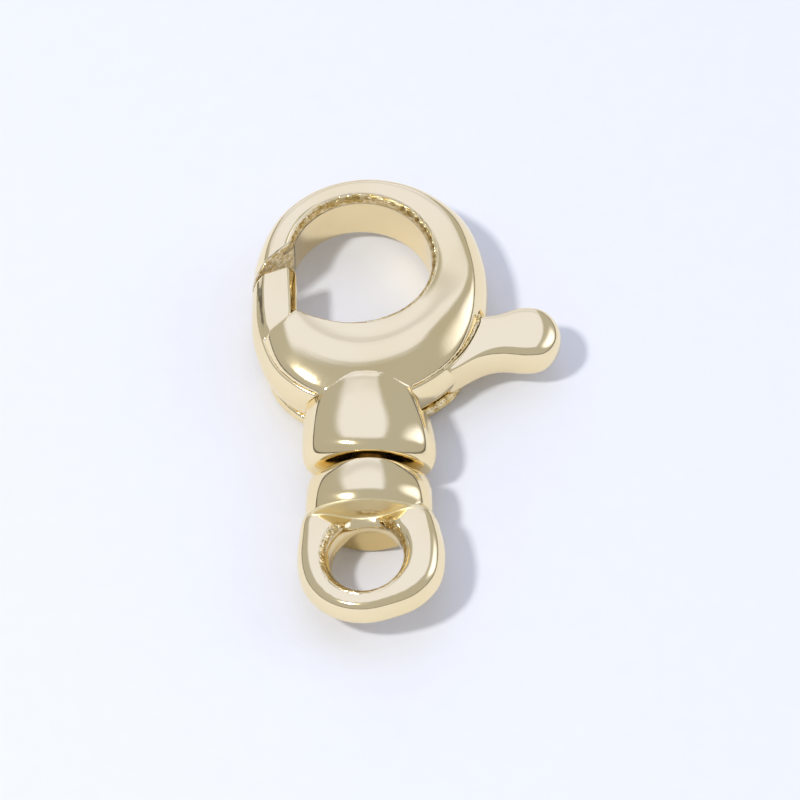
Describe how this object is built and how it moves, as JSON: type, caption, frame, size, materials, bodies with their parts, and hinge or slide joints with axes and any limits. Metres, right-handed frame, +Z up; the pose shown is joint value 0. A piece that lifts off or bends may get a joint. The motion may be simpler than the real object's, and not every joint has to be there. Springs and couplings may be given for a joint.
{
  "type": "lobster clasp",
  "caption": "Polished gold-coloured swivel lobster clasp: an egg-shaped ring with a sprung gate worked by a thumb tab, and a turning bail with a small loop.",
  "frame": {"origin": "the middle of the object's box, on the surface it lies on", "axes": "+Z up from the surface, +Y along the clasp from the bail to the round eye, +X across it to the thumb tab"},
  "size_m": [0.0144, 0.0232, 0.0042],
  "materials": {
    "gold_body": "high polish, pale gold plate",
    "gold_trigger": "high polish, pale gold plate",
    "gold_bail": "high polish, pale gold plate",
    "pin_metal": "drawn wire, satin"
  },
  "bodies": {
    "clasp": {"clasp_body": "gold_body", "pivot_pin": "pin_metal"},
    "trigger": {"trigger": "gold_trigger"},
    "swivel": {"bail": "gold_bail", "swivel_pin": "pin_metal"}
  },
  "joints": [
    {"name": "trigger_pivot", "type": "hinge", "parent": "clasp", "child": "trigger", "pos_m": [-0.0029, 0.00131, 0.0021], "axis": [0, 0, -1], "range_deg": [0, 16], "stiffness_Nm_per_rad": 0.01, "springref_deg": -28.65},
    {"name": "swivel", "type": "hinge", "parent": "clasp", "child": "swivel", "pos_m": [-0.0017, -0.00395, 0.0021], "axis": [0, -1, 0], "continuous": true}
  ]
}
